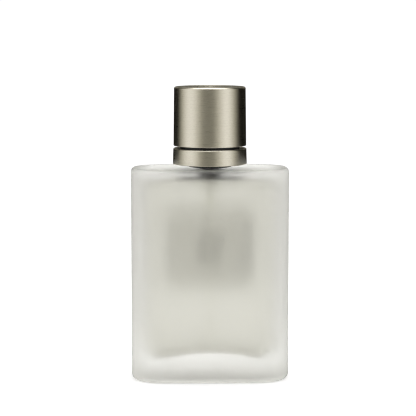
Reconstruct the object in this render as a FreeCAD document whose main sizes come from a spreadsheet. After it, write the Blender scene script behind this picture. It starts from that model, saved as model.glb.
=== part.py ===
import FreeCAD, Part
import math
import os
import re

import Sketcher

# A 100 ml glass bottle with a crimped spray pump, a metal collar and a metal-sleeved cap.
# +Z is up, the front face looks along -Y, and the origin is the middle of the base.

doc = FreeCAD.newDocument("aftershave_bottle")
dims = doc.addObject("Spreadsheet::Sheet", "dims")
pieces = {}

# Driving dimensions in millimetres: name, size, what it is.
DRIVING = [
    ("body_width", "71.0", "glass, side to side"),
    ("body_depth", "36.5", "glass, front to back"),
    ("body_height", "95.6", "glass, base to shoulder"),
    ("face_radius", "590.0", "plan curve of the front and back"),
    ("side_radius", "145.0", "plan curve of the two sides"),
    ("corner_radius", "14.0", "plan curve of the four corners"),
    ("shoulder_round", "1.6", "edge of the shoulder"),
    ("base_round", "2.6", "edge of the base"),
    ("side_wall", "7.8", "glass at the sides"),
    ("face_wall", "5.6", "glass at the front and back"),
    ("base_thickness", "9.8", "glass under the liquid"),
    ("dome_rise", "3.5", "arch in the middle of the cavity floor"),
    ("dome_radius", "74.0", "curve of that arch"),
    ("shoulder_thickness", "3.0", "glass over the air space"),
    ("cavity_corner", "9.0", "plan curve of the cavity's corners"),
    ("cavity_round", "6.0", "floor and ceiling edges of the cavity"),
    ("recess_inset", "6.0", "outline of the base to the recess"),
    ("recess_depth", "0.6", "push-up in the base"),
    ("recess_corner", "8.0", "plan curve of the recess's corners"),
    ("neck_height", "8.4", "shoulder to lip"),
    ("neck_radius", "6.7", "neck under the bead"),
    ("neck_root_round", "1.0", "neck into the shoulder"),
    ("bead_radius", "7.4", "bead that the ferrule grips"),
    ("bead_height", "3.7", "lip to the underside of the bead"),
    ("lip_round", "0.5", "edges of the lip"),
    ("mouth_radius", "4.9", "bore of the neck"),
    ("fill_level", "90.6", "surface of the liquid"),
    ("slip", "0.05", "clearance of pieces that fit together"),
    ("overcut", "1.0", "how far a cut starts outside a piece"),
    ("gasket_thickness", "0.9", "rubber on the lip"),
    ("gasket_gap", "0.2", "pump housing to that rubber"),
    ("stack_radius", "7.2", "gasket and flanges inside the ferrule"),
    ("flange_thickness", "1.0", "flange of the pump housing"),
    ("turret_thickness", "0.9", "flange of the turret"),
    ("ferrule_wall", "0.4", "aluminium of the ferrule"),
    ("ferrule_radius", "7.85", "outside of the ferrule"),
    ("ferrule_mouth", "3.2", "hole in the top of the ferrule"),
    ("crimp_radius", "6.95", "inside of the crimp"),
    ("crimp_depth", "4.4", "lip to the ferrule's lower edge"),
    ("crimp_height", "0.5", "rolled part of the ferrule"),
    ("housing_radius", "4.4", "pump housing outside"),
    ("housing_bore", "3.3", "pump chamber"),
    ("housing_depth", "17.3", "lip to the foot of the housing"),
    ("chamber_depth", "15.8", "lip to the floor of the chamber"),
    ("floor_mouth", "1.3", "hole in the floor of the chamber"),
    ("cage_depth", "16.85", "lip to the ball's retaining lip"),
    ("cage_lip", "0.2", "thickness of the retaining lip"),
    ("cage_lip_radius", "1.05", "opening of the retaining lip"),
    ("cage_radius", "1.55", "bore around the ball"),
    ("seat_depth", "19.4", "lip to the narrow end of the seat"),
    ("seat_radius", "0.8", "narrow end of the seat"),
    ("socket_depth", "20.4", "lip to the end of the tube socket"),
    ("spout_radius", "2.7", "spout around the dip tube"),
    ("spout_depth", "26.3", "lip to the lower end of the spout"),
    ("vent_radius", "0.4", "vent hole of the housing"),
    ("vent_depth", "5.2", "lip to the vent hole"),
    ("ball_radius", "1.2", "steel ball of the inlet valve"),
    ("tube_radius", "1.5", "dip tube outside"),
    ("tube_bore", "1.05", "dip tube inside"),
    ("tube_foot", "1.5", "top of the arch to the dip tube"),
    ("tube_slant", "2.0", "height of the slanted cut"),
    ("plug_depth", "1.3", "lip to the turret's lower end"),
    ("turret_nose", "3.0", "turret through the ferrule"),
    ("nose_rise", "0.3", "turret above the ferrule"),
    ("stem_radius", "1.6", "pump stem outside"),
    ("stem_bore", "0.75", "pump stem inside"),
    ("stem_gap", "0.08", "stem to turret and gasket"),
    ("stem_rise", "11.7", "lip to the top of the stem"),
    ("stem_depth", "6.3", "lip to the foot of the stem"),
    ("stem_web", "2.0", "solid foot of the stem"),
    ("stop_radius", "2.5", "flange that ends the upstroke"),
    ("stop_depth", "1.4", "lip to the top of that flange"),
    ("stop_thickness", "1.0", "thickness of that flange"),
    ("port_radius", "0.35", "ports in the side of the stem"),
    ("port_depth", "3.8", "lip to the ports"),
    ("seal_radius", "2.55", "stem gasket outside"),
    ("seal_thickness", "0.8", "stem gasket"),
    ("piston_radius", "3.22", "wiping lips of the piston"),
    ("piston_waist", "2.6", "piston between its lips"),
    ("piston_depth", "6.8", "lip to the foot of the piston"),
    ("piston_height", "4.2", "whole piston"),
    ("piston_lip", "0.6", "width of a wiping lip"),
    ("piston_sleeve", "2.3", "upper end of the piston"),
    ("spring_radius", "2.35", "middle of the spring wire"),
    ("wire_radius", "0.3", "spring wire"),
    ("spring_turns", "6.5", "coils of the spring"),
    ("ring_bottom", "97.3", "lower edge of the collar ring"),
    ("ring_top", "104.45", "upper face of the collar ring"),
    ("ring_radius_top", "16.45", "collar ring at its top"),
    ("ring_radius_bottom", "16.65", "collar ring at its lower edge"),
    ("ring_wall", "0.8", "metal of the collar ring"),
    ("ring_mouth", "13.5", "hole in the top of the ring"),
    ("ring_round", "0.5", "upper edge of the ring"),
    ("hem_round", "0.25", "lower edges of ring and cap"),
    ("ring_hem", "15.3", "inside of the hem"),
    ("hem_height", "0.4", "hem of the ring"),
    ("insert_bottom", "98.0", "lower face of the insert's flange"),
    ("insert_flange", "15.75", "flange inside the ring"),
    ("insert_flange_height", "1.2", "thickness of that flange"),
    ("spigot_radius", "13.4", "spigot that the cap sits on"),
    ("spigot_wall", "1.2", "wall of the spigot"),
    ("spigot_top", "113.5", "top of the spigot"),
    ("deck_thickness", "1.0", "deck across the spigot"),
    ("grip_radius", "9.6", "tube around the ferrule"),
    ("grip_gap", "0.1", "ferrule to that tube"),
    ("grip_depth", "7.9", "lip to the lower end of that tube"),
    ("grip_bead", "7.5", "bead that snaps under the ferrule"),
    ("chimney_radius", "7.45", "guide around the actuator"),
    ("gusset_thickness", "1.0", "gussets of the insert"),
    ("gusset_count", "8", "gussets of the insert"),
    ("spacer_count", "12", "ribs that centre the ring"),
    ("spacer_radius", "15.55", "reach of those ribs"),
    ("detent_level", "110.0", "middle of the groove in the spigot"),
    ("detent_width", "1.0", "height of that groove"),
    ("detent_depth", "0.25", "depth of that groove"),
    ("cap_bottom", "105.6", "lower edge of the cap"),
    ("cap_top", "132.0", "top of the cap"),
    ("cap_radius_top", "16.05", "cap at its top"),
    ("cap_radius_bottom", "16.35", "cap at its lower edge"),
    ("cap_wall", "0.7", "metal of the cap's side"),
    ("cap_roof", "0.8", "metal of the cap's top"),
    ("cap_round", "0.8", "upper edge of the cap"),
    ("liner_inset", "0.5", "cap edge to the liner"),
    ("liner_flange", "15.55", "liner against the cap's side"),
    ("liner_flange_height", "1.0", "thickness of that flange"),
    ("socket_radius", "13.75", "liner around the spigot"),
    ("socket_outer", "14.7", "outside of the socket"),
    ("shoulder_plate", "1.2", "ledge that sits on the spigot"),
    ("ledge_gap", "0.05", "spigot to that ledge"),
    ("well_radius", "9.0", "space over the actuator"),
    ("well_wall", "1.0", "wall of that space"),
    ("well_top", "126.0", "ceiling of that space"),
    ("liner_roof", "1.0", "top plate of the liner"),
    ("liner_roof_radius", "15.3", "edge of the top plate"),
    ("grip_rib_reach", "13.52", "ribs against the spigot"),
    ("grip_rib_width", "1.2", "width of those ribs"),
    ("grip_rib_count", "8", "ribs against the spigot"),
    ("weight_radius", "14.4", "steel disc in the cap"),
    ("weight_hole", "4.0", "hole of the disc"),
    ("weight_thickness", "4.0", "steel disc in the cap"),
    ("button_bottom", "111.9", "lower edge of the actuator"),
    ("button_top", "121.0", "top of the actuator"),
    ("button_radius", "6.9", "metal sleeve of the actuator"),
    ("button_wall", "0.4", "side of the sleeve"),
    ("button_roof", "0.9", "top of the sleeve"),
    ("button_round", "0.5", "upper edge of the sleeve"),
    ("dish_radius", "25.0", "finger dish"),
    ("dish_depth", "0.5", "finger dish"),
    ("core_inset", "0.4", "sleeve edge to the core"),
    ("core_wall", "0.85", "outer wall of the core"),
    ("boss_radius", "2.6", "boss around the stem"),
    ("boss_bottom", "112.0", "lower end of the boss"),
    ("pocket_top", "115.0", "underside pocket of the core"),
    ("stem_room", "0.6", "space over the stem"),
    ("nozzle_level", "117.5", "middle of the spray nozzle"),
    ("nozzle_bore", "2.0", "bore for the nozzle insert"),
    ("nozzle_post", "1.2", "post inside the nozzle insert"),
    ("nozzle_depth", "3.3", "depth of that bore"),
    ("nozzle_step", "0.7", "core's surface to the end of the post"),
    ("nozzle_window", "2.3", "hole in the sleeve"),
    ("feed_radius", "0.28", "feed hole to the nozzle"),
    ("feed_drop", "1.6", "nozzle middle to the feed hole"),
    ("insert_length", "3.0", "nozzle insert"),
    ("insert_face", "0.6", "front wall of the nozzle insert"),
    ("orifice_radius", "0.15", "spray orifice"),
    ("label_width", "42.0", "label on the back face"),
    ("label_height", "39.0", "label on the back face"),
    ("label_middle", "57.5", "height of the label's middle"),
    ("label_corner", "3.0", "corners of the label"),
    ("label_thickness", "0.1", "both labels"),
    ("label_glue", "0.02", "glass to label"),
    ("base_label_margin", "1.0", "recess to the base label"),
]

# Levels and sizes that follow from the driving ones.
DERIVED = [
    ("half_width", "=body_width / 2", "middle to side"),
    ("half_depth", "=body_depth / 2", "middle to face"),
    ("lip_level", "=body_height + neck_height", "top of the glass"),
    ("ceiling_level", "=body_height - shoulder_thickness", "top of the cavity"),
    ("tube_end", "=base_thickness + dome_rise + tube_foot", "lower end of the dip tube"),
    ("housing_foot", "=lip_level - housing_depth", "where the housing narrows to its spout"),
    ("spout_top", "=housing_foot - (housing_radius - spout_radius)", "where the spout starts"),
    ("housing_bottom", "=lip_level + gasket_thickness", "underside of the housing's flange"),
    ("turret_bottom", "=housing_bottom + flange_thickness", "underside of the turret's flange"),
    ("turret_top", "=turret_bottom + turret_thickness", "under the ferrule"),
    ("ferrule_top", "=turret_top + ferrule_wall", "top of the ferrule"),
    ("ferrule_inner", "=ferrule_radius - ferrule_wall", "inside of the ferrule"),
    ("chamber_floor", "=lip_level - chamber_depth", "where the spring stands"),
    ("piston_foot", "=lip_level - piston_depth", "where the spring pushes"),
    ("stem_top", "=lip_level + stem_rise", "top of the stem"),
    ("ball_rise", "=ball_radius * sqrt(2) - seat_radius", "seat's narrow end to the ball's middle"),
    ("insert_top", "=spigot_top - deck_thickness", "under the deck"),
    ("ledge_bottom", "=spigot_top + ledge_gap", "where the cap rests"),
    ("ledge_top", "=ledge_bottom + shoulder_plate", "top of the ledge"),
    ("liner_bottom", "=cap_bottom + liner_inset", "lower face of the liner"),
    ("liner_top", "=well_top + liner_roof", "top of the liner"),
    ("core_radius", "=button_radius - button_wall - slip", "outside of the core"),
    ("core_top", "=button_top - button_roof - slip", "top of the core"),
    ("socket_end", "=stem_top + stem_room", "end of the stem's socket"),
]
SAME_LENGTH = 1e-3
ALIASES = {alias for alias, size, note in DRIVING + DERIVED}


def fill_sheet():
    """Writes every dimension into the spreadsheet under its own name."""
    for row, (alias, size, note) in enumerate(DRIVING + DERIVED, 1):
        dims.set(f"A{row}", alias)
        dims.set(f"B{row}", size)
        dims.set(f"C{row}", note)
        dims.setAlias(f"B{row}", alias)
    doc.recompute()


def bound(expression):
    """Puts the sheet's name before each dimension in an expression."""
    def full_name(word):
        name = word.group(0)
        return "dims." + name if name in ALIASES else name
    return re.sub(r"[a-z_]+", full_name, expression)


def value(expression):
    """Number that an expression has now."""
    return float(dims.evalExpression(bound(expression)))


def near(first, second):
    """True for two lengths that are the same."""
    return abs(first - second) < SAME_LENGTH


# ---- sketches ----

def new_body(label):
    """A body of its own for one sub-part."""
    body = doc.addObject("PartDesign::Body", label)
    body.Label = label
    pieces[label] = body
    return body


def new_sketch(body, name, plane, offset):
    """Sketch on one of the body's origin planes, moved along the plane's normal."""
    support = next(item for item in body.Origin.OriginFeatures if item.Role == plane)
    sketch = body.newObject("Sketcher::SketchObject", name)
    sketch.AttachmentSupport = [(support, "")]
    sketch.MapMode = "FlatFace"
    sketch.setExpression("AttachmentOffset.Base.z", bound(offset))
    return sketch


def hold(sketch, kind, where, expression):
    """Adds a dimension to a sketch and binds it to the sheet."""
    number = sketch.addConstraint(Sketcher.Constraint(kind, *where, value(expression)))
    sketch.setExpression(f"Constraints[{number}]", bound(expression))


def outline(body, name, points, plane="XZ_Plane", offset="0"):
    """Closed outline with straight sides, each corner held from the origin."""
    sketch = new_sketch(body, name, plane, offset)
    corners = [FreeCAD.Vector(value(across), value(up), 0) for across, up in points]
    count = len(corners)
    for index in range(count):
        sketch.addGeometry(Part.LineSegment(corners[index], corners[(index + 1) % count]), False)
    for index, (across, up) in enumerate(points):
        sketch.addConstraint(Sketcher.Constraint("Coincident", index, 2, (index + 1) % count, 1))
        hold(sketch, "DistanceX", (index, 1), across)
        hold(sketch, "DistanceY", (index, 1), up)
    return sketch


def circles(body, name, rings, plane="XZ_Plane", offset="0"):
    """Circles on the sketch's upright axis: height of the centre, radius."""
    sketch = new_sketch(body, name, plane, offset)
    for index, (height, radius) in enumerate(rings):
        centre = FreeCAD.Vector(0, value(height), 0)
        sketch.addGeometry(Part.Circle(centre, FreeCAD.Vector(0, 0, 1), value(radius)), False)
        sketch.addConstraint(Sketcher.Constraint("PointOnObject", index, 3, -2))
        hold(sketch, "DistanceY", (index, 3), height)
        hold(sketch, "Radius", (index,), radius)
    return sketch


def plan(body, name, inset_side, inset_face, corner, offset):
    """Plan outline of the bottle, inset from the glass: eight arcs that run into each other."""
    across = f"half_width - {inset_side}"
    along = f"half_depth - {inset_face}"
    radii = [value("side_radius"), value(corner), value("face_radius")]
    side_x = value(f"side_radius - ({across})")
    face_y = value(f"face_radius - ({along})")
    corner_x, corner_y = corner_centre(side_x, face_y, radii)
    centres = [(-side_x, 0, radii[0]), (corner_x, corner_y, radii[1]),
               (0, -face_y, radii[2]), (-corner_x, corner_y, radii[1]),
               (side_x, 0, radii[0]), (-corner_x, -corner_y, radii[1]),
               (0, face_y, radii[2]), (corner_x, -corner_y, radii[1])]
    side_turn = math.atan2(corner_y, corner_x + side_x)
    face_turn = math.atan2(corner_y + face_y, corner_x)
    turns = [-side_turn, side_turn, face_turn, math.pi - face_turn, math.pi - side_turn,
             math.pi + side_turn, math.pi + face_turn, 2 * math.pi - face_turn,
             2 * math.pi - side_turn]
    sketch = new_sketch(body, name, "XY_Plane", offset)
    for (x, y, radius), start, end in zip(centres, turns, turns[1:]):
        circle = Part.Circle(FreeCAD.Vector(x, y, 0), FreeCAD.Vector(0, 0, 1), radius)
        sketch.addGeometry(Part.ArcOfCircle(circle, start, end), False)
    for index in range(len(centres)):
        following = (index + 1) % len(centres)
        sketch.addConstraint(Sketcher.Constraint("Tangent", index, 2, following, 1))
    for first, second in ((1, 3), (3, 5), (5, 7), (2, 6), (0, 4)):
        sketch.addConstraint(Sketcher.Constraint("Equal", first, second))
    hold(sketch, "Radius", (0,), "side_radius")
    hold(sketch, "Radius", (1,), corner)
    hold(sketch, "Radius", (2,), "face_radius")
    for index, sign in ((0, "-"), (4, "")):
        sketch.addConstraint(Sketcher.Constraint("PointOnObject", index, 3, -1))
        hold(sketch, "DistanceX", (index, 3), f"{sign}(side_radius - ({across}))")
    for index, sign in ((2, "-"), (6, "")):
        sketch.addConstraint(Sketcher.Constraint("PointOnObject", index, 3, -2))
        hold(sketch, "DistanceY", (index, 3), f"{sign}(face_radius - ({along}))")
    return sketch


def corner_centre(side_x, face_y, radii):
    """Centre of the corner arc that runs into the side arc and the face arc."""
    side_reach = radii[0] - radii[1]
    face_reach = radii[2] - radii[1]
    apart = math.hypot(side_x, face_y)
    along = (side_reach ** 2 - face_reach ** 2 + apart ** 2) / (2 * apart)
    off = math.sqrt(side_reach ** 2 - along ** 2)
    unit_x, unit_y = side_x / apart, -face_y / apart
    return -side_x + along * unit_x - off * unit_y, along * unit_y + off * unit_x


# ---- features ----

def volume(body):
    """Volume of a body as it stands."""
    doc.recompute()
    return body.Shape.Volume


def turn(body, name, sketch, kind="PartDesign::Revolution"):
    """Revolves a sketch about the upright axis."""
    feature = body.newObject(kind, name)
    feature.Profile = sketch
    feature.ReferenceAxis = (sketch, ["V_Axis"])
    feature.Angle = 360
    sketch.Visibility = False
    doc.recompute()
    return feature


def groove(body, name, sketch):
    """Cuts a revolved sketch out of a body."""
    before = volume(body)
    turn(body, name, sketch, "PartDesign::Groove")
    if volume(body) >= before:
        raise RuntimeError(f"{name} cuts nothing")


def pad(body, name, sketch, length):
    """Adds a sketch, pushed along its normal."""
    feature = body.newObject("PartDesign::Pad", name)
    feature.Profile = sketch
    feature.setExpression("Length", bound(length))
    doc.recompute()
    return feature


def pocket(body, name, sketch, length=None, against=True):
    """Cuts a sketch against its normal or along it, all the way through if it has no length."""
    before = volume(body)
    feature = body.newObject("PartDesign::Pocket", name)
    feature.Profile = sketch
    feature.Reversed = not against
    if length:
        feature.setExpression("Length", bound(length))
    else:
        feature.Type = "ThroughAll"
    if volume(body) >= before:
        raise RuntimeError(f"{name} cuts nothing")
    return feature


def spread(body, name, feature, sketch, count):
    """Repeats a feature around the upright axis."""
    pattern = body.newObject("PartDesign::PolarPattern", name)
    pattern.Originals = [feature]
    pattern.Axis = (sketch, ["N_Axis"])
    pattern.Angle = 360
    pattern.setExpression("Occurrences", bound(count))
    body.Tip = pattern
    doc.recompute()


def round_edges(body, name, radius, wanted):
    """Rounds the edges of a body that the test picks."""
    doc.recompute()
    base = body.Tip
    names = [f"Edge{n}" for n, edge in enumerate(base.Shape.Edges, 1) if wanted(edge)]
    feature = body.newObject("PartDesign::Fillet", name)
    feature.Base = (base, names)
    feature.setExpression("Radius", bound(radius))
    doc.recompute()


def rim(radius, level):
    """Test for a circular edge about the upright axis."""
    def test(edge):
        box = edge.BoundBox
        flat = near(box.ZMin, value(level)) and near(box.ZMax, value(level))
        return flat and near(box.XMax, value(radius))
    return test


def run_at(level):
    """Test for an edge of a plan outline at a level, which no circle about the axis is."""
    def test(edge):
        box = edge.BoundBox
        middle = edge.CenterOfMass
        flat = near(box.ZMin, value(level)) and near(box.ZMax, value(level))
        return flat and not near(math.hypot(middle.x, middle.y), 0)
    return test


def turned(label, points):
    """A round sub-part: half its section, as radius and height."""
    body = new_body(label)
    turn(body, label + "_turn", outline(body, label + "_section", points))
    return body


def rib(body, name, inner, outer, width, bottom, top, count):
    """Radial ribs between two radii."""
    corners = [(inner, f"-{width} / 2"), (outer, f"-{width} / 2"),
               (outer, f"{width} / 2"), (inner, f"{width} / 2")]
    sketch = outline(body, name + "_outline", corners, "XY_Plane", bottom)
    feature = pad(body, name + "_pad", sketch, f"{top} - ({bottom})")
    spread(body, name + "_ring", feature, sketch, count)


# ---- glass and liquid ----

def glass_bottle():
    """Thick-walled bottle with a crimp neck and a shallow recess underneath."""
    body = new_body("glass_bottle")
    pad(body, "glass_block", plan(body, "glass_plan", "0", "0", "corner_radius", "0"), "body_height")
    round_edges(body, "glass_shoulder", "shoulder_round", run_at("body_height"))
    round_edges(body, "glass_foot", "base_round", run_at("0"))
    recess = plan(body, "recess_plan", "recess_inset", "recess_inset", "recess_corner", "0")
    pocket(body, "recess", recess, "recess_depth", against=False)
    neck = outline(body, "neck_section", [
        ("0", "ceiling_level"), ("neck_radius", "ceiling_level"),
        ("neck_radius", "lip_level - bead_height - (bead_radius - neck_radius)"),
        ("bead_radius", "lip_level - bead_height"), ("bead_radius", "lip_level"),
        ("0", "lip_level")])
    turn(body, "neck", neck)
    mouth = outline(body, "mouth_section", [
        ("0", "ceiling_level - cavity_round"), ("mouth_radius", "ceiling_level - cavity_round"),
        ("mouth_radius", "lip_level + overcut"), ("0", "lip_level + overcut")])
    groove(body, "mouth", mouth)
    round_edges(body, "lip_outside", "lip_round", rim("bead_radius", "lip_level"))
    round_edges(body, "lip_inside", "lip_round", rim("mouth_radius", "lip_level"))
    round_edges(body, "neck_root", "neck_root_round", rim("neck_radius", "body_height"))
    cavity = plan(body, "cavity_plan", "side_wall", "face_wall", "cavity_corner", "base_thickness")
    pocket(body, "cavity", cavity, "ceiling_level - base_thickness", against=False)
    round_edges(body, "cavity_floor", "cavity_round", run_at("base_thickness"))
    round_edges(body, "cavity_ceiling", "cavity_round", run_at("ceiling_level"))
    reach = "half_depth - face_wall + overcut"
    dome = arch(body, "floor_dome_outline", "dome_radius", f"-({reach})")
    pad(body, "floor_dome", dome, f"2 * ({reach})")


def arch(body, name, radius, offset):
    """Upright outline of the arch in the cavity floor, closed by a line inside the glass."""
    top, low = "base_thickness + dome_rise", "base_thickness - overcut"
    middle = f"{top} - dome_radius"
    turn_low = math.asin((value(low) - value(middle)) / value(radius))
    centre = FreeCAD.Vector(0, value(middle), 0)
    circle = Part.Circle(centre, FreeCAD.Vector(0, 0, 1), value(radius))
    curve = Part.ArcOfCircle(circle, turn_low, math.pi - turn_low)
    sketch = new_sketch(body, name, "XZ_Plane", offset)
    sketch.addGeometry(curve, False)
    sketch.addGeometry(Part.LineSegment(curve.EndPoint, curve.StartPoint), False)
    sketch.addConstraint(Sketcher.Constraint("Coincident", 0, 2, 1, 1))
    sketch.addConstraint(Sketcher.Constraint("Coincident", 1, 2, 0, 1))
    sketch.addConstraint(Sketcher.Constraint("Horizontal", 1))
    sketch.addConstraint(Sketcher.Constraint("PointOnObject", 0, 3, -2))
    hold(sketch, "DistanceY", (0, 3), middle)
    hold(sketch, "DistanceY", (1, 1), low)
    hold(sketch, "Radius", (0,), radius)
    return sketch


def aftershave_fill():
    """The liquid, clear of the glass, the pump housing and the dip tube."""
    body = new_body("aftershave_fill")
    floor, ceiling = "base_thickness + slip", "ceiling_level - slip"
    sketch = plan(body, "fill_plan", "(side_wall + slip)", "(face_wall + slip)",
                  "cavity_corner", floor)
    pad(body, "fill_block", sketch, f"{ceiling} - ({floor})")
    round_edges(body, "fill_floor", "cavity_round", run_at(floor))
    round_edges(body, "fill_shoulder", "cavity_round", run_at(ceiling))
    air = plan(body, "air_plan", "0", "0", "corner_radius", "fill_level")
    pocket(body, "air_space", air, against=False)
    dome = arch(body, "fill_dome_outline", "(dome_radius + slip)", "half_depth")
    pocket(body, "fill_dome", dome)
    pump_hole = outline(body, "pump_hole_section", [
        ("0", "tube_end - slip"), ("tube_radius + slip", "tube_end - slip"),
        ("tube_radius + slip", "lip_level - spout_depth - slip"),
        ("spout_radius + slip", "lip_level - spout_depth - slip"),
        ("spout_radius + slip", "spout_top - slip"),
        ("housing_radius + slip", "housing_foot - slip"),
        ("housing_radius + slip", "fill_level + overcut"), ("0", "fill_level + overcut")])
    groove(body, "pump_hole", pump_hole)


# ---- pump ----

def neck_gasket():
    """Rubber ring between lip and pump."""
    turned("neck_gasket", [
        ("housing_radius + gasket_gap", "lip_level"), ("stack_radius", "lip_level"),
        ("stack_radius", "housing_bottom"), ("housing_radius + gasket_gap", "housing_bottom")])


def pump_housing():
    """Pump cylinder with its flange, spring floor, ball cage, valve seat and tube socket."""
    body = turned("pump_housing", [
        ("housing_bore", "turret_bottom"), ("stack_radius", "turret_bottom"),
        ("stack_radius", "housing_bottom"), ("housing_radius", "housing_bottom"),
        ("housing_radius", "housing_foot"), ("spout_radius", "spout_top"),
        ("spout_radius", "lip_level - spout_depth"),
        ("tube_radius + slip", "lip_level - spout_depth"),
        ("tube_radius + slip", "lip_level - socket_depth"),
        ("seat_radius", "lip_level - socket_depth"), ("seat_radius", "lip_level - seat_depth"),
        ("cage_radius", "lip_level - seat_depth + cage_radius - seat_radius"),
        ("cage_radius", "lip_level - cage_depth - cage_lip"),
        ("cage_lip_radius", "lip_level - cage_depth - cage_lip"),
        ("cage_lip_radius", "lip_level - cage_depth"), ("floor_mouth", "lip_level - cage_depth"),
        ("floor_mouth", "chamber_floor"), ("housing_bore", "chamber_floor")])
    vent = circles(body, "vent_outline", [("lip_level - vent_depth", "vent_radius")],
                   offset="housing_radius + overcut")
    pocket(body, "vent", vent, "housing_radius")


def pump_turret():
    """Cover that closes the pump and guides the stem."""
    hole = "stem_radius + stem_gap"
    turned("pump_turret", [
        (hole, "lip_level - plug_depth + seal_thickness"),
        ("seal_radius + slip", "lip_level - plug_depth + seal_thickness"),
        ("seal_radius + slip", "lip_level - plug_depth"),
        ("housing_bore - slip", "lip_level - plug_depth"),
        ("housing_bore - slip", "turret_bottom"), ("stack_radius", "turret_bottom"),
        ("stack_radius", "turret_top"), ("turret_nose", "turret_top"),
        ("turret_nose", "ferrule_top + nose_rise"), (hole, "ferrule_top + nose_rise")])


def stem_gasket():
    """Rubber ring that seals the stem."""
    turned("stem_gasket", [
        ("stem_radius + stem_gap", "lip_level - plug_depth"),
        ("seal_radius", "lip_level - plug_depth"),
        ("seal_radius", "lip_level - plug_depth + seal_thickness"),
        ("stem_radius + stem_gap", "lip_level - plug_depth + seal_thickness")])


def crimp_ferrule():
    """Aluminium cup rolled under the bead of the neck."""
    turned("crimp_ferrule", [
        ("ferrule_mouth", "turret_top"), ("ferrule_inner", "turret_top"),
        ("ferrule_inner", "lip_level - crimp_depth + crimp_height"),
        ("crimp_radius", "lip_level - crimp_depth + crimp_height / 2"),
        ("crimp_radius", "lip_level - crimp_depth"), ("ferrule_inner", "lip_level - crimp_depth"),
        ("ferrule_radius", "lip_level - crimp_depth + crimp_height"),
        ("ferrule_radius", "ferrule_top"), ("ferrule_mouth", "ferrule_top")])


def dip_tube():
    """Tube to the floor of the bottle, cut on a slant at its foot."""
    body = turned("dip_tube", [
        ("tube_bore", "tube_end"), ("tube_radius", "tube_end"),
        ("tube_radius", "lip_level - socket_depth - slip"),
        ("tube_bore", "lip_level - socket_depth - slip")])
    slant = outline(body, "slant_outline", [
        ("-tube_radius", "tube_end"), ("tube_radius", "tube_end"),
        ("tube_radius", "tube_end + tube_slant")], offset="tube_radius + overcut")
    pocket(body, "slant", slant)


def valve_ball():
    """Steel ball on the seat at the foot of the pump."""
    ball = doc.addObject("Part::Sphere", "valve_ball")
    ball.Label = "valve_ball"
    ball.setExpression("Radius", bound("ball_radius"))
    ball.setExpression("Placement.Base.z", bound("lip_level - seat_depth + ball_rise + slip"))
    pieces["valve_ball"] = ball


def return_spring():
    """Coil spring between the floor of the chamber and the piston."""
    body = new_body("return_spring")
    sketch = new_sketch(body, "wire_section", "XZ_Plane", "0")
    height = "chamber_floor + wire_radius + slip"
    centre = FreeCAD.Vector(value("spring_radius"), value(height), 0)
    sketch.addGeometry(Part.Circle(centre, FreeCAD.Vector(0, 0, 1), value("wire_radius")), False)
    hold(sketch, "DistanceX", (0, 3), "spring_radius")
    hold(sketch, "DistanceY", (0, 3), height)
    hold(sketch, "Radius", (0,), "wire_radius")
    coil = body.newObject("PartDesign::AdditiveHelix", "coil")
    coil.Profile = sketch
    coil.ReferenceAxis = (sketch, ["V_Axis"])
    coil.Mode = "height-turns-angle"
    coil.setExpression("Height", bound("piston_foot - chamber_floor - 2 * (wire_radius + slip)"))
    coil.setExpression("Turns", bound("spring_turns"))
    doc.recompute()


def pump_stem():
    """Hollow stem with side ports and the flange that ends its upstroke."""
    web = "lip_level - stem_depth + stem_web"
    stop = "lip_level - stop_depth"
    body = turned("pump_stem", [
        ("0", "lip_level - stem_depth"), ("stem_radius", "lip_level - stem_depth"),
        ("stem_radius", f"{stop} - stop_thickness"), ("stop_radius", f"{stop} - stop_thickness"),
        ("stop_radius", stop), ("stem_radius", stop), ("stem_radius", "stem_top"),
        ("stem_bore", "stem_top"), ("stem_bore", web), ("0", web)])
    ports = circles(body, "port_outline", [("lip_level - port_depth", "port_radius")],
                    offset="stem_radius + overcut")
    pocket(body, "ports", ports)


def pump_piston():
    """Piston with an upper and a lower wiping lip, around the foot of the stem."""
    hole = "stem_radius + slip"
    top = "piston_foot + piston_height"
    step = "(piston_radius - piston_waist)"
    turned("pump_piston", [
        (hole, "piston_foot"), ("piston_radius", "piston_foot"),
        ("piston_radius", "piston_foot + piston_lip"),
        ("piston_waist", f"piston_foot + piston_lip + {step}"),
        ("piston_waist", f"{top} - 2 * piston_lip - {step}"),
        ("piston_radius", f"{top} - 2 * piston_lip"), ("piston_radius", f"{top} - piston_lip"),
        ("piston_radius - piston_lip / 2", f"{top} - piston_lip"),
        ("piston_sleeve", f"{top} - 2 * piston_lip"), ("piston_sleeve", top), (hole, top)])


# ---- actuator ----

def actuator_core():
    """Plastic button with the stem's socket, the feed hole and the nozzle's bore."""
    inner = "core_radius - core_wall"
    skirt = "button_bottom + core_inset"
    body = turned("actuator_core", [
        ("stem_radius + slip", "boss_bottom"), ("boss_radius", "boss_bottom"),
        ("boss_radius", "pocket_top"), (inner, "pocket_top"), (inner, skirt),
        ("core_radius", skirt), ("core_radius", "core_top"), ("0", "core_top"),
        ("0", "socket_end"), ("stem_radius + slip", "socket_end")])
    step = circles(body, "nozzle_step_outline", [("nozzle_level", "nozzle_bore")],
                   offset="core_radius")
    pocket(body, "nozzle_mouth", step, "nozzle_step")
    bore = circles(body, "nozzle_bore_outline", [
        ("nozzle_level", "nozzle_bore"), ("nozzle_level", "nozzle_post")], offset="core_radius")
    pocket(body, "nozzle_seat", bore, "nozzle_depth")
    feed = circles(body, "feed_outline", [("nozzle_level - feed_drop", "feed_radius")],
                   offset="core_radius")
    pocket(body, "feed", feed, "core_radius")


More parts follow.
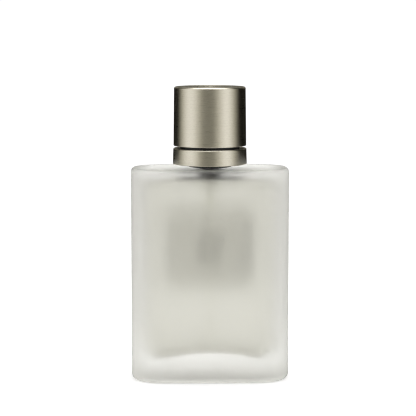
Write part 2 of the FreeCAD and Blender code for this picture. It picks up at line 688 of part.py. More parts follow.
def actuator_shell():
    """Metal sleeve over the button, dished for the finger, with a window for the nozzle."""
    inner = "button_radius - button_wall"
    body = turned("actuator_sleeve", [
        (inner, "button_bottom"), ("button_radius", "button_bottom"),
        ("button_radius", "button_top"), ("0", "button_top"),
        ("0", "button_top - button_roof"), (inner, "button_top - button_roof")])
    window = circles(body, "window_outline", [("nozzle_level", "nozzle_window")],
                     offset="button_radius + overcut")
    pocket(body, "window", window, "button_radius")
    round_edges(body, "button_edge", "button_round", rim("button_radius", "button_top"))
    dish = doc.addObject("Part::Sphere", "finger_dish")
    dish.setExpression("Radius", bound("dish_radius"))
    dish.setExpression("Placement.Base.z", bound("button_top + dish_radius - dish_depth"))
    shell = doc.addObject("Part::Cut", "actuator_shell")
    shell.Label = "actuator_shell"
    shell.Base = pieces.pop("actuator_sleeve")
    shell.Tool = dish
    pieces["actuator_shell"] = shell


def nozzle_insert():
    """Nozzle cup pressed over the post, facing the front."""
    outer = "nozzle_bore - slip"
    inner = "nozzle_post + slip"
    floor = "insert_length - insert_face"
    body = turned("nozzle_insert", [
        (inner, "0"), (outer, "0"), (outer, "insert_length"), ("orifice_radius", "insert_length"),
        ("orifice_radius", floor), (inner, floor)])
    body.Placement.Rotation = FreeCAD.Rotation(FreeCAD.Vector(1, 0, 0), 90)
    body.setExpression("Placement.Base.y", bound("insert_length + slip - core_radius"))
    body.setExpression("Placement.Base.z", bound("nozzle_level"))


# ---- collar ----

def collar_ring():
    """Metal ring between bottle and cap, with its hem turned in."""
    body = turned("collar_ring", [
        ("ring_hem", "ring_bottom"), ("ring_radius_bottom", "ring_bottom"),
        ("ring_radius_top", "ring_top"), ("ring_mouth", "ring_top"),
        ("ring_mouth", "ring_top - ring_wall"),
        ("ring_radius_top - ring_wall", "ring_top - ring_wall"),
        ("ring_radius_bottom - ring_wall", "ring_bottom + hem_height"),
        ("ring_hem", "ring_bottom + hem_height")])
    round_edges(body, "ring_edge", "ring_round", rim("ring_radius_top", "ring_top"))
    round_edges(body, "ring_mouth_edge", "hem_round", rim("ring_mouth", "ring_top"))
    round_edges(body, "ring_hem_edge", "hem_round", rim("ring_radius_bottom", "ring_bottom"))


def collar_insert():
    """Plastic insert that grips the ferrule, centres the ring and carries the cap."""
    tube = "ferrule_radius + grip_gap"
    wall = "spigot_radius - spigot_wall"
    deck = "ferrule_top + grip_gap"
    foot = "lip_level - grip_depth"
    catch = "lip_level - crimp_depth - grip_gap"
    body = turned("collar_insert", [
        ("chimney_radius", deck), (tube, deck), (tube, catch),
        ("grip_bead", catch), ("grip_bead", f"{catch} - (ferrule_radius - grip_bead)"),
        (tube, foot), ("grip_radius", foot), ("grip_radius", "insert_top"), (wall, "insert_top"),
        (wall, "insert_bottom"), ("insert_flange", "insert_bottom"),
        ("insert_flange", "insert_bottom + insert_flange_height"),
        ("spigot_radius", "insert_bottom + insert_flange_height"),
        ("spigot_radius", "spigot_top"), ("chimney_radius", "spigot_top")])
    detent = outline(body, "detent_section", [
        ("spigot_radius - detent_depth", "detent_level - detent_width / 2"),
        ("spigot_radius + overcut", "detent_level - detent_width / 2"),
        ("spigot_radius + overcut", "detent_level + detent_width / 2"),
        ("spigot_radius - detent_depth", "detent_level + detent_width / 2")])
    groove(body, "detent", detent)
    round_edges(body, "spigot_edge", "detent_depth", rim("spigot_radius", "spigot_top"))
    rib(body, "gusset", "grip_radius - slip", f"{wall} + slip", "gusset_thickness",
        "insert_bottom + insert_flange_height", "insert_top", "gusset_count")
    rib(body, "spacer", "spigot_radius - slip", "spacer_radius", "gusset_thickness",
        "insert_bottom + insert_flange_height - slip", "ring_top - ring_wall - slip",
        "spacer_count")


# ---- cap ----

def cap_shell():
    """Metal outer shell of the cap, slightly wider at its mouth."""
    body = turned("cap_shell", [
        ("cap_radius_bottom - cap_wall", "cap_bottom"), ("cap_radius_bottom", "cap_bottom"),
        ("cap_radius_top", "cap_top"), ("0", "cap_top"), ("0", "cap_top - cap_roof"),
        ("cap_radius_top - cap_wall", "cap_top - cap_roof")])
    round_edges(body, "cap_edge", "cap_round", rim("cap_radius_top", "cap_top"))
    round_edges(body, "cap_hem", "hem_round", rim("cap_radius_bottom", "cap_bottom"))


def cap_liner():
    """Plastic liner with the socket for the spigot and the well over the actuator."""
    well_outer = "well_radius + well_wall"
    body = turned("cap_liner", [
        ("socket_radius", "liner_bottom"), ("liner_flange", "liner_bottom"),
        ("liner_flange", "liner_bottom + liner_flange_height"),
        ("socket_outer", "liner_bottom + liner_flange_height"), ("socket_outer", "ledge_top"),
        (well_outer, "ledge_top"), (well_outer, "well_top"), ("liner_roof_radius", "well_top"),
        ("liner_roof_radius", "liner_top"), ("0", "liner_top"), ("0", "well_top"),
        ("well_radius", "well_top"), ("well_radius", "ledge_bottom"),
        ("socket_radius", "ledge_bottom")])
    rib(body, "grip_rib", "grip_rib_reach", "socket_radius + slip", "grip_rib_width",
        "liner_bottom + liner_flange_height", "ledge_bottom + slip", "grip_rib_count")


def cap_weight():
    """Steel disc that gives the cap its weight."""
    turned("cap_weight", [
        ("weight_hole", "liner_top"), ("weight_radius", "liner_top"),
        ("weight_radius", "liner_top + weight_thickness"),
        ("weight_hole", "liner_top + weight_thickness")])


# ---- labels ----

def back_label():
    """Label on the back face, bent to the glass."""
    body = new_body("back_label")
    low = "label_middle - label_height / 2"
    sketch = new_sketch(body, "label_plan", "XY_Plane", low)
    centre_y = "half_depth - face_radius"
    inner = "face_radius + label_glue"
    outer = f"{inner} + label_thickness"
    ends = []
    for radius in (inner, outer):
        swing = math.asin(value("label_width / 2") / value(radius))
        circle = Part.Circle(FreeCAD.Vector(0, value(centre_y), 0), FreeCAD.Vector(0, 0, 1),
                             value(radius))
        arc = Part.ArcOfCircle(circle, math.pi / 2 - swing, math.pi / 2 + swing)
        sketch.addGeometry(arc, False)
        ends.append((arc.StartPoint, arc.EndPoint))
    for side in (0, 1):
        sketch.addGeometry(Part.LineSegment(ends[0][side], ends[1][side]), False)
        sketch.addConstraint(Sketcher.Constraint("Coincident", 2 + side, 1, 0, 1 + side))
        sketch.addConstraint(Sketcher.Constraint("Coincident", 2 + side, 2, 1, 1 + side))
        sketch.addConstraint(Sketcher.Constraint("Vertical", 2 + side))
    for index, radius in enumerate((inner, outer)):
        sketch.addConstraint(Sketcher.Constraint("PointOnObject", index, 3, -2))
        hold(sketch, "DistanceY", (index, 3), centre_y)
        hold(sketch, "Radius", (index,), radius)
    hold(sketch, "DistanceX", (0, 1), "label_width / 2")
    hold(sketch, "DistanceX", (0, 2), "-label_width / 2")
    pad(body, "label_strip", sketch, "label_height")
    edge_length = value("label_thickness * 2")
    round_edges(body, "label_corners", "label_corner", lambda edge: edge.Length < edge_length)


def base_label():
    """Small label in the recess under the base."""
    body = new_body("base_label")
    inset = "(recess_inset + base_label_margin)"
    sketch = plan(body, "base_label_plan", inset, inset, "recess_corner - base_label_margin",
                  "recess_depth - label_glue - label_thickness")
    pad(body, "base_label_sheet", sketch, "label_thickness")


def check_document():
    """Stops if any object failed or any sub-part has no sound shape."""
    for item in doc.Objects:
        if "Invalid" in item.State or "Error" in item.State:
            raise RuntimeError(f"{item.Label}: {item.State}")
    for label, piece in pieces.items():
        if piece.Shape.isNull() or not piece.Shape.isValid() or not piece.Shape.Solids:
            raise RuntimeError(f"{label} has no sound shape")


def export():
    """Writes one STEP file for each sub-part."""
    os.makedirs("parts", exist_ok=True)
    for label, piece in pieces.items():
        box = piece.Shape.BoundBox
        print(f"{label:16} {piece.Shape.Volume:9.1f} mm3  z {box.ZMin:6.2f} to {box.ZMax:6.2f}")
        piece.Shape.exportStep(f"parts/{label}.step")


fill_sheet()
for make in (glass_bottle, aftershave_fill, neck_gasket, pump_housing, pump_turret, stem_gasket,
             crimp_ferrule, dip_tube, valve_ball, return_spring, pump_stem, pump_piston,
             actuator_core, actuator_shell, nozzle_insert, collar_ring, collar_insert, cap_shell,
             cap_liner, cap_weight, back_label, base_label):
    make()
doc.recompute()
check_document()
export()
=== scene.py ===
import math

import bpy
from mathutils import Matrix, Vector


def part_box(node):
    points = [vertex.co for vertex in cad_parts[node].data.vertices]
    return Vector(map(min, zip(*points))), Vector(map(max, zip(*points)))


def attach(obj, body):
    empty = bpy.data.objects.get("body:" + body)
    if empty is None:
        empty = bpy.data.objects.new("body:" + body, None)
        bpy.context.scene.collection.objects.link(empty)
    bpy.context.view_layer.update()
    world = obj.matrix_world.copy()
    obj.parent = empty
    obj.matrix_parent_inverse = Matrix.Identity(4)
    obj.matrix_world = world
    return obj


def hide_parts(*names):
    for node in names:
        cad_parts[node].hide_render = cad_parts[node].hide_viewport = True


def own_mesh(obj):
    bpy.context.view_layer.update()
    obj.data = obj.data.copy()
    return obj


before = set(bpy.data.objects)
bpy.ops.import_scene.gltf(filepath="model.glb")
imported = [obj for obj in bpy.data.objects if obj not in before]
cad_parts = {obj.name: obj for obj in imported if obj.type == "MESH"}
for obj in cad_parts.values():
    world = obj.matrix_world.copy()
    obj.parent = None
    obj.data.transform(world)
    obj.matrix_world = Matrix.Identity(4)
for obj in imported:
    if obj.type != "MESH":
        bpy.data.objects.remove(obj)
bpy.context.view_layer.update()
MM = 0.001

# Camera, by its place on a circle round the bottle's axis.
CAMERA_DISTANCE = 0.7973
CAMERA_HEIGHT = 0.1688
CAMERA_SWING = math.radians(-1.352)
CAMERA_AIM = math.radians(0.060)
CAMERA_TILT = math.radians(6.555)
CAMERA_LENS = 153.7
CAMERA_SENSOR = 36.0

# Plan curves of the bottle, which the cavity follows.
FACE_RADIUS = 590 * MM
SIDE_RADIUS = 145 * MM
ARC_STEPS = 14

# Cavity: plan corner, rounded edges at floor and ceiling, depth of the ceiling under the lip, arched floor.
CAVITY_CORNER = 9 * MM
CAVITY_ROUND = 6 * MM
CEILING_DROP = 11.4 * MM
DOME_RISE = 3.5 * MM
DOME_RADIUS = 74 * MM
CAVITY_SLACK = 0.3 * MM
# Glass faces inside this radius, above the cavity's ceiling, get black plastic as painted shade in the
# neck's bore.
BORE_LIMIT = 5 * MM

# Liquid: how far it reaches into the glass, the height of its raised rim and its finest plan corner.
WET = 0.12 * MM
MENISCUS = 0.7 * MM
FINEST_CORNER = 0.5 * MM
DOME_RINGS = (0.02, 0.2, 0.4, 0.6, 0.8, 0.95)
ROUND_STEPS = 8
RIM_STEPS = 6

# Return spring: wire radius, coil radius, turns and the gap left under the pump piston.
WIRE = 0.3 * MM
COIL_RADIUS = 2.35 * MM
TURNS = 6.5
COIL_STEPS = 156
WIRE_SIDES = 10
SPRING_GAP = 0.05 * MM

# Print on the back label: width of its faded edge, and each bar's middle, half width, half height and
# strength.
PRINT_FADE_ACROSS = 8 * MM
PRINT_FADE_ALONG = 8.5 * MM
SOFT_EDGE = 0.3 * MM
BARS = [(-17 * MM, 1.2 * MM, 12 * MM, 0.3), (-3.2 * MM, 0.8 * MM, 8 * MM, 1.0),
        (3.2 * MM, 0.8 * MM, 8 * MM, 1.0), (17 * MM, 2.2 * MM, 12 * MM, 0.4)]

# The etched skin gets rougher from the upper of these heights down to the lower one.
COARSE_LOW = 8 * MM
COARSE_HIGH = 34 * MM
COARSE_EXTRA = 0.12

FLOOR_RADIUS = 0.65
WHITE = (1, 1, 1, 1)


# ---- node helpers ----

class Tree:
    """Short ways to make and join shader nodes."""

    def __init__(self, owner):
        owner.use_nodes = True
        self.tree = owner.node_tree
        self.tree.nodes.clear()

    def add(self, kind, inputs=None, **settings):
        """A node with its settings, and its inputs joined or set."""
        node = self.tree.nodes.new(kind)
        for name, setting in settings.items():
            setattr(node, name, setting)
        for name, source in (inputs or {}).items():
            self.feed(node.inputs[name], source)
        return node

    def feed(self, socket, source):
        """Joins a socket to another one, or sets its value."""
        if isinstance(source, bpy.types.NodeSocket):
            self.tree.links.new(source, socket)
        else:
            socket.default_value = source

    def math(self, operation, first, second=0.0):
        """A number worked out from one or two others."""
        return self.add("ShaderNodeMath", {0: first, 1: second}, operation=operation).outputs[0]

    def plus(self, first, second):
        """Sum of two numbers."""
        return self.math("ADD", first, second)

    def times(self, first, second):
        """Product of two numbers."""
        return self.math("MULTIPLY", first, second)

    def apart(self, first, second):
        """Distance between two numbers."""
        return self.math("ABSOLUTE", self.math("SUBTRACT", first, second))

    def fade(self, source, full, none):
        """1 up to full, 0 from none on, smooth between."""
        inputs = {"Value": source, "From Min": full, "From Max": none, "To Min": 1.0, "To Max": 0.0}
        node = self.add("ShaderNodeMapRange", inputs, interpolation_type="SMOOTHSTEP")
        return node.outputs["Result"]

    def stretch(self, coordinates, scale):
        """Coordinates with another scale on each axis."""
        return self.add("ShaderNodeMapping", {"Vector": coordinates, "Scale": scale}).outputs["Vector"]

    def noise(self, coordinates, scale, detail=2.0, roughness=0.5):
        """Noise value between 0 and 1."""
        inputs = {"Vector": coordinates, "Scale": scale, "Detail": detail, "Roughness": roughness}
        return self.add("ShaderNodeTexNoise", inputs).outputs["Fac"]

    def between(self, source, low, high):
        """Spreads the middle half of a 0 to 1 value over another range."""
        inputs = {"Value": source, "From Min": 0.25, "From Max": 0.75, "To Min": low, "To Max": high}
        return self.add("ShaderNodeMapRange", inputs).outputs["Result"]

    def mix(self, share, first, second):
        """Colour between two colours."""
        node = self.add("ShaderNodeMix", data_type="RGBA")
        self.feed(node.inputs["Factor"], share)
        self.feed(node.inputs[6], first)
        self.feed(node.inputs[7], second)
        return node.outputs[2]


class Surface(Tree):
    """A material with one Principled shader, whose fixed settings are its sockets' own values."""

    def __init__(self, name, **sockets):
        self.material = bpy.data.materials.new(name)
        super().__init__(self.material)
        self.shader = self.add("ShaderNodeBsdfPrincipled")
        self.add("ShaderNodeOutputMaterial", {"Surface": self.shader.outputs["BSDF"]})
        for socket, setting in sockets.items():
            self.shader.inputs[socket.replace("_", " ")].default_value = setting
        self.place = self.add("ShaderNodeTexCoord").outputs["Object"]

    def colour(self, share, first, second):
        """Base colour between two colours."""
        self.feed(self.shader.inputs["Base Color"], self.mix(share, first, second))

    def roughness(self, source):
        """Roughness from a value that changes over the surface."""
        self.feed(self.shader.inputs["Roughness"], source)

    def relief(self, height, distance, strength):
        """Fine relief from a height."""
        inputs = {"Height": height, "Distance": distance, "Strength": strength}
        self.feed(self.shader.inputs["Normal"], self.add("ShaderNodeBump", inputs).outputs["Normal"])


# ---- materials ----

def satin_metal():
    """Warm anodised metal, brushed round the axis."""
    metal = Surface("satin_metal", Metallic=1.0, Anisotropic=0.75, Anisotropic_Rotation=0.25)
    grain = metal.noise(metal.stretch(metal.place, (18.0, 18.0, 2200.0)), 6.0, 3.0, 0.6)
    haze = metal.noise(metal.place, 160.0, 3.0)
    fleck = metal.noise(metal.stretch(metal.place, (900.0, 900.0, 2600.0)), 1.0, 2.0)
    share = metal.times(metal.plus(grain, fleck), 0.5)
    metal.colour(share, (0.56, 0.53, 0.455, 1), (0.83, 0.80, 0.70, 1))
    metal.roughness(metal.plus(metal.between(grain, 0.26, 0.34), metal.between(haze, -0.01, 0.01)))
    metal.relief(grain, 0.02 * MM, 0.25)
    tangent = metal.add("ShaderNodeTangent", direction_type="RADIAL", axis="Z")
    metal.feed(metal.shader.inputs["Tangent"], tangent.outputs["Tangent"])
    return metal.material


def frosted_glass():
    """Acid-etched glass: a fine matt skin over clear glass, a little coarser towards the base."""
    glass = Surface("frosted_glass", Transmission_Weight=1.0, IOR=1.5)
    cloud = glass.noise(glass.place, 60.0, 4.0)
    etch = glass.noise(glass.place, 5200.0, 2.0)
    height = glass.add("ShaderNodeSeparateXYZ", {0: glass.place}).outputs["Z"]
    coarse = glass.times(glass.fade(height, COARSE_LOW, COARSE_HIGH), COARSE_EXTRA)
    glass.colour(cloud, (0.955, 0.955, 0.925, 1), (0.975, 0.975, 0.95, 1))
    glass.roughness(glass.plus(glass.between(cloud, 0.58, 0.64), coarse))
    glass.relief(etch, 0.01 * MM, 0.3)
    return glass.material


def clear_glass():
    """Fire-polished inside of the bottle."""
    glass = Surface("clear_glass", Transmission_Weight=1.0, IOR=1.5, Roughness=0.04)
    ripple = glass.noise(glass.place, 45.0, 2.0)
    glass.colour(ripple, (0.975, 0.98, 0.96, 1), (0.985, 0.99, 0.97, 1))
    glass.relief(ripple, 0.2 * MM, 0.2)
    return glass.material


def liquid():
    """Pale aftershave."""
    water = Surface("liquid", Transmission_Weight=1.0, IOR=1.36, Roughness=0.0)
    swirl = water.noise(water.place, 30.0, 2.0)
    water.colour(swirl, (0.745, 0.735, 0.70, 1), (0.755, 0.745, 0.71, 1))
    return water.material


def plastic(name, dark, light, roughness, **sockets):
    """Moulded plastic or rubber with a fine grain."""
    moulded = Surface(name, **sockets)
    grain = moulded.noise(moulded.place, 900.0, 3.0)
    flow = moulded.noise(moulded.place, 70.0, 2.0)
    moulded.colour(flow, dark, light)
    moulded.roughness(moulded.between(grain, roughness - 0.05, roughness + 0.05))
    moulded.relief(grain, 0.03 * MM, 0.3)
    return moulded.material


def plain_metal(name, dark, light, roughness):
    """Bare metal with fine turning marks."""
    metal = Surface(name, Metallic=1.0)
    marks = metal.noise(metal.stretch(metal.place, (60.0, 60.0, 3000.0)), 3.0, 2.0)
    metal.colour(marks, dark, light)
    metal.roughness(metal.between(marks, roughness - 0.06, roughness + 0.06))
    metal.relief(marks, 0.02 * MM, 0.3)
    return metal.material


def label_film():
    """Clear film printed in pale grey that fades towards its edge, with upright bars."""
    film = Surface("label_film", Roughness=0.45, Transmission_Weight=0.85, IOR=1.2)
    low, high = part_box("back_label")
    half_height = (high.z - low.z) / 2
    x, y, z = film.add("ShaderNodeSeparateXYZ", {0: film.place}).outputs
    across = film.math("ABSOLUTE", x)
    along = film.apart(z, low.z + half_height)
    dark = 0.0
    for middle, half_bar, bar_reach, strength in BARS:
        bar = film.times(film.fade(film.apart(x, middle), half_bar, half_bar + SOFT_EDGE),
                         film.fade(along, bar_reach, bar_reach + 4 * SOFT_EDGE))
        dark = film.math("MAXIMUM", film.times(bar, strength), dark)
    printed = film.times(film.fade(across, high.x - PRINT_FADE_ACROSS, high.x),
                         film.fade(along, half_height - PRINT_FADE_ALONG, half_height))
    fibre = film.noise(film.place, 1400.0, 3.0)
    grey = film.mix(fibre, (0.89, 0.885, 0.86, 1), (0.93, 0.925, 0.90, 1))
    ground = film.mix(printed, (0.98, 0.98, 0.97, 1), grey)
    film.colour(dark, ground, (0.03, 0.03, 0.03, 1))
    film.relief(fibre, 0.02 * MM, 0.2)
    return film.material


# ---- pieces ----

def arc_outline(half_width, half_depth, corner):
    """Points of a plan outline like the bottle's: sides, faces and corners as arcs that run on smoothly."""
    side_x = SIDE_RADIUS - half_width
    face_y = FACE_RADIUS - half_depth
    side_reach = SIDE_RADIUS - corner
    face_reach = FACE_RADIUS - corner
    apart = math.hypot(side_x, face_y)
    along = (side_reach ** 2 - face_reach ** 2 + apart ** 2) / (2 * apart)
    off = math.sqrt(side_reach ** 2 - along ** 2)
    corner_x = -side_x + along * side_x / apart + off * face_y / apart
    corner_y = -along * face_y / apart + off * side_x / apart
    side_turn = math.atan2(corner_y, corner_x + side_x)
    face_turn = math.atan2(corner_y + face_y, corner_x)
    arcs = [(-side_x, 0, SIDE_RADIUS, 0, side_turn), (corner_x, corner_y, corner, side_turn, face_turn),
            (0, -face_y, FACE_RADIUS, face_turn, math.pi / 2)]
    quarter = []
    for x, y, radius, start, end in arcs:
        for step in range(ARC_STEPS):
            turn = start + (end - start) * step / ARC_STEPS
            quarter.append((x + radius * math.cos(turn), y + radius * math.sin(turn)))
    quarter.append((0, half_depth))
    half = quarter + [(-x, y) for x, y in reversed(quarter[:-1])]
    return half + [(x, -y) for x, y in reversed(half[1:-1])]


def skin(name, rings):
    """Closed mesh object through rings that all have the same number of points."""
    count = len(rings[0])
    points = [point for ring in rings for point in ring]
    faces = []
    for row in range(len(rings) - 1):
        low, high = row * count, (row + 1) * count
        for i in range(count):
            j = (i + 1) % count
            faces.append((low + i, low + j, high + j, high + i))
    faces.append(tuple(reversed(range(count))))
    faces.append(tuple(range(len(points) - count, len(points))))
    mesh = bpy.data.meshes.new(name)
    mesh.from_pydata(points, [], faces)
    mesh.shade_smooth()
    mesh.set_sharp_from_angle(angle=math.radians(30))
    piece = bpy.data.objects.new(name, mesh)
    bpy.context.scene.collection.objects.link(piece)
    return piece


def round_inset(rise):
    """Inset of the cavity's rounded edge at a height above the wall's straight part."""
    return CAVITY_ROUND - math.sqrt(max(CAVITY_ROUND ** 2 - rise ** 2, 0.0))


def dome_height(x):
    """Height of the arched cavity floor above its edge."""
    return max(DOME_RISE - DOME_RADIUS + math.sqrt(DOME_RADIUS ** 2 - x ** 2), 0.0)


def liquid_outline(inset, height):
    """Ring of the liquid's skin at a height, moved inwards from the wall."""
    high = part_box("aftershave_fill")[1]
    corner = max(CAVITY_CORNER + WET - inset, FINEST_CORNER)
    outline = arc_outline(high.x + WET - inset, high.y + WET - inset, corner)
    return [(x, y, height) for x, y in outline]


def liquid_floor(floor):
    """Rings over the arched floor and up its rounded edge."""
    flat = liquid_outline(CAVITY_ROUND, floor)
    rings = []
    for share in DOME_RINGS:
        rings.append([(x * share, y * share, floor + dome_height(x * share)) for x, y, z in flat])
    for step in range(ROUND_STEPS + 1):
        turn = math.pi / 2 * step / ROUND_STEPS
        lift = CAVITY_ROUND * (1 - math.cos(turn))
        ring = liquid_outline(CAVITY_ROUND * (1 - math.sin(turn)), floor + lift)
        rings.append([(x, y, max(z, floor + dome_height(x))) for x, y, z in ring])
    return rings


def liquid_wall(foot, straight_top, edge_height):
    """Rings up the straight wall and along its rounded top to the liquid's rim."""
    rings = []
    for step in range(1, ROUND_STEPS + 1):
        rings.append(liquid_outline(0, foot + (straight_top - foot) * step / ROUND_STEPS))
    for step in range(1, RIM_STEPS + 1):
        height = straight_top + (edge_height - straight_top) * step / RIM_STEPS
        rings.append(liquid_outline(round_inset(height - straight_top), height))
    return rings


def liquid_top(edge, level):
    """Rings from the raised rim down to the level surface."""
    rings = []
    for step in range(1, ROUND_STEPS + 1):
        away = 4 * MENISCUS * step / ROUND_STEPS
        rings.append(liquid_outline(edge + away, level + MENISCUS * math.exp(-away / MENISCUS)))
    rings.append(liquid_outline(edge + 6 * MENISCUS, level))
    return rings


def liquid_body():
    """The liquid, wetting the glass, with a raised rim where it meets the wall."""
    low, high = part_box("aftershave_fill")
    floor, level = low.z - WET, high.z
    straight_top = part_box("glass_bottle")[1].z - CEILING_DROP + WET - CAVITY_ROUND
    edge_height = level + MENISCUS
    edge = round_inset(edge_height - straight_top)
    rings = liquid_floor(floor)
    rings += liquid_wall(floor + CAVITY_ROUND, straight_top, edge_height)
    rings += liquid_top(edge, level)
    piece = skin("aftershave_liquid", rings)
    piece.data.materials.append(liquid())
    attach(piece, "bottle")
    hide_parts("aftershave_fill")


def spring(material):
    """Coil spring between its seat and the pump piston's foot, at rest."""
    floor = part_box("return_spring")[0].z
    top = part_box("pump_piston")[0].z
    start, rise = floor + WIRE, top - floor - 2 * WIRE - SPRING_GAP
    rings = []
    for step in range(COIL_STEPS + 1):
        share = step / COIL_STEPS
        turn = 2 * math.pi * TURNS * share
        ring = []
        for side in range(WIRE_SIDES):
            angle = 2 * math.pi * side / WIRE_SIDES
            reach = COIL_RADIUS + WIRE * math.cos(angle)
            ring.append((reach * math.cos(turn), reach * math.sin(turn),
                         start + rise * share + WIRE * math.sin(angle)))
        rings.append(ring)
    piece = skin("coil_spring", rings)
    piece.data.materials.append(material)
    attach(piece, "bottle")
    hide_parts("return_spring")
    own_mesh(piece)


def dress(material, *names):
    """Gives CAD nodes one material."""
    for name in names:
        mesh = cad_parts[name].data
        mesh.materials.clear()
        mesh.materials.append(material)


def dress_glass(bore_shade):
    """Matt skin outside, clear glass inside the cavity, and painted shade in the neck's bore: the black
    plastic on its glass faces.
    """
    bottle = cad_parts["glass_bottle"].data
    low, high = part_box("aftershave_fill")
    bottle.materials.clear()
    for material in (frosted_glass(), clear_glass(), bore_shade):
        bottle.materials.append(material)
    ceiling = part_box("glass_bottle")[1].z - CEILING_DROP + 0.2 * MM
    for face in bottle.polygons:
        x, y, z = face.center
        # Faces of the neck's bore are painted black as shade, so the glass under the collar ring reads
        # dark.
        in_shaded_bore = math.hypot(x, y) < BORE_LIMIT and z > ceiling
        wide = abs(x) < high.x + CAVITY_SLACK and abs(y) < high.y + CAVITY_SLACK
        in_cavity = wide and low.z - CAVITY_SLACK < z < ceiling
        face.material_index = 2 if in_shaded_bore else int(in_cavity)


def dress_pieces():
    """Materials of all pieces that keep their CAD shape, and the spring and liquid that don't."""
    black = plastic("black_plastic", (0.012, 0.012, 0.012, 1), (0.02, 0.02, 0.02, 1), 0.38)
    steel = plain_metal("spring_steel", (0.55, 0.55, 0.55, 1), (0.68, 0.68, 0.68, 1), 0.2)
    dress(satin_metal(), "cap_shell", "collar_ring", "actuator_shell")
    dress(black, "collar_insert", "cap_liner", "actuator_core")
    dress(plastic("grey_plastic", (0.10, 0.10, 0.10, 1), (0.14, 0.14, 0.14, 1), 0.4), "nozzle_insert")
    dress(plastic("natural_plastic", (0.95, 0.95, 0.93, 1), (0.97, 0.97, 0.95, 1), 0.3,
                  Transmission_Weight=1.0, IOR=1.06),
          "pump_housing", "pump_turret", "pump_stem", "pump_piston")
    dress(plastic("clear_plastic", (0.975, 0.975, 0.965, 1), (0.985, 0.985, 0.975, 1), 0.15,
                  Transmission_Weight=1.0, IOR=1.04), "dip_tube")
    dress(plastic("black_rubber", (0.02, 0.02, 0.02, 1), (0.03, 0.03, 0.03, 1), 0.8),
          "neck_gasket", "stem_gasket")
    dress(plain_metal("bare_aluminium", (0.78, 0.78, 0.78, 1), (0.86, 0.86, 0.86, 1), 0.28),
          "crimp_ferrule")
    dress(steel, "valve_ball")
    dress(plain_metal("plated_steel", (0.55, 0.55, 0.54, 1), (0.62, 0.62, 0.60, 1), 0.35), "cap_weight")
    dress(label_film(), "back_label")
    dress(plastic("plain_film", (0.85, 0.845, 0.82, 1), (0.89, 0.885, 0.86, 1), 0.45,
                  Transmission_Weight=0.85, IOR=1.2), "base_label")
    # The black plastic also paints shade on the glass of the neck's bore.
    dress_glass(black)
    liquid_body()
    spring(steel)


# ---- studio ----

def floor():
    """Pale floor under the bottle."""
    bpy.ops.mesh.primitive_circle_add(vertices=96, radius=FLOOR_RADIUS, fill_type="NGON")
    stage = bpy.context.object
    stage.name = "floor"
    card = Surface("floor", Roughness=0.9, Emission_Color=WHITE, Emission_Strength=0.35)
    cloud = card.noise(card.place, 3.0, 2.0)
    card.colour(cloud, (0.90, 0.90, 0.90, 1), (0.92, 0.92, 0.92, 1))
    stage.data.materials.append(card.material)
    stage.visible_glossy = False


def softbox(tree, azimuth, degrees, strength):
    """Light from a range of azimuths: none, full, full and none again, in degrees from the front."""
    none_left, full_left, full_right, none_right = [math.radians(angle) for angle in degrees]
    rising = tree.fade(azimuth, full_left, none_left)
    falling = tree.fade(azimuth, full_right, none_right)
    return tree.times(tree.times(rising, falling), strength)


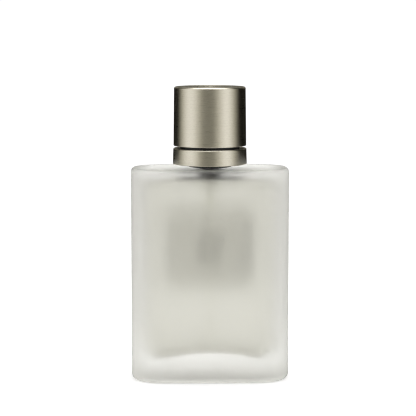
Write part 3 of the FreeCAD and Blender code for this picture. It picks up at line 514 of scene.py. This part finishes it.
def mirrored_light(tree):
    """Gloss light: softboxes left, right, in front, behind and overhead, and the pale floor."""
    way = tree.add("ShaderNodeSeparateXYZ", {0: tree.add("ShaderNodeTexCoord").outputs["Generated"]})
    x, y, z = way.outputs
    azimuth = tree.math("ARCTAN2", x, tree.times(y, -1.0))
    height = tree.math("ARCSINE", z)
    left = softbox(tree, azimuth, (-129, -71, -66, -16), 1.02)
    right = softbox(tree, azimuth, (4, 60, 54, 110), 1.05)
    front = softbox(tree, azimuth, (-70, -20, 20, 70), 0.20)
    back = tree.math("SUBTRACT", math.pi, tree.math("ABSOLUTE", azimuth))
    rear = tree.times(tree.fade(back, math.radians(20), math.radians(60)),
                      tree.fade(height, math.radians(8), math.radians(1)))
    level = tree.plus(tree.plus(left, right), tree.plus(front, tree.times(rear, 0.2)))
    over = tree.times(tree.fade(height, math.radians(70), math.radians(46)), 3.2)
    under = tree.fade(height, math.radians(-50), math.radians(-28))
    return tree.math("MAXIMUM", tree.plus(level, 0.003), tree.math("MAXIMUM", over, under))


def studio():
    """Soft studio light: a pale surround, with the softboxes seen only in reflections."""
    world = bpy.data.worlds.new("studio")
    bpy.context.scene.world = world
    world.cycles.sampling_method = "NONE"
    tree = Tree(world)
    gloss = mirrored_light(tree)
    tint = tree.mix(tree.math("MINIMUM", gloss, 1.0), (1, 0.95, 0.74, 1), (1, 0.985, 0.95, 1))
    rays = tree.add("ShaderNodeLightPath").outputs
    through = tree.add("ShaderNodeBackground", {"Color": (1, 0.99, 0.955, 1), "Strength": 0.88})
    around = tree.add("ShaderNodeBackground", {"Color": WHITE, "Strength": 1.05})
    mirrored = tree.add("ShaderNodeBackground", {"Color": tint, "Strength": gloss})
    is_gloss = tree.times(rays["Is Glossy Ray"], rays["Is Reflection Ray"])
    clear = tree.add("ShaderNodeMixShader", {0: rays["Is Transmission Ray"],
                                             1: around.outputs[0], 2: through.outputs[0]})
    light = tree.add("ShaderNodeMixShader", {0: is_gloss, 1: clear.outputs[0], 2: mirrored.outputs[0]})
    tree.add("ShaderNodeOutputWorld", {"Surface": light.outputs[0]})


def camera():
    """Long lens that looks slightly down at the bottle's front."""
    data = bpy.data.cameras.new("camera")
    data.lens = CAMERA_LENS
    data.sensor_width = CAMERA_SENSOR
    view = bpy.data.objects.new("camera", data)
    view.location = (CAMERA_DISTANCE * math.sin(CAMERA_SWING),
                     -CAMERA_DISTANCE * math.cos(CAMERA_SWING), CAMERA_HEIGHT)
    view.rotation_euler = (math.pi / 2 - CAMERA_TILT, 0, CAMERA_SWING + CAMERA_AIM)
    bpy.context.scene.collection.objects.link(view)
    bpy.context.scene.camera = view


def look():
    """How the light becomes a picture."""
    scene = bpy.context.scene
    scene.view_settings.view_transform = "Standard"
    scene.cycles.use_denoising = True
    scene.cycles.filter_width = 1.1
    scene.cycles.max_bounces = 24
    scene.cycles.transmission_bounces = 24
    scene.cycles.glossy_bounces = 12


dress_pieces()
floor()
studio()
camera()
look()
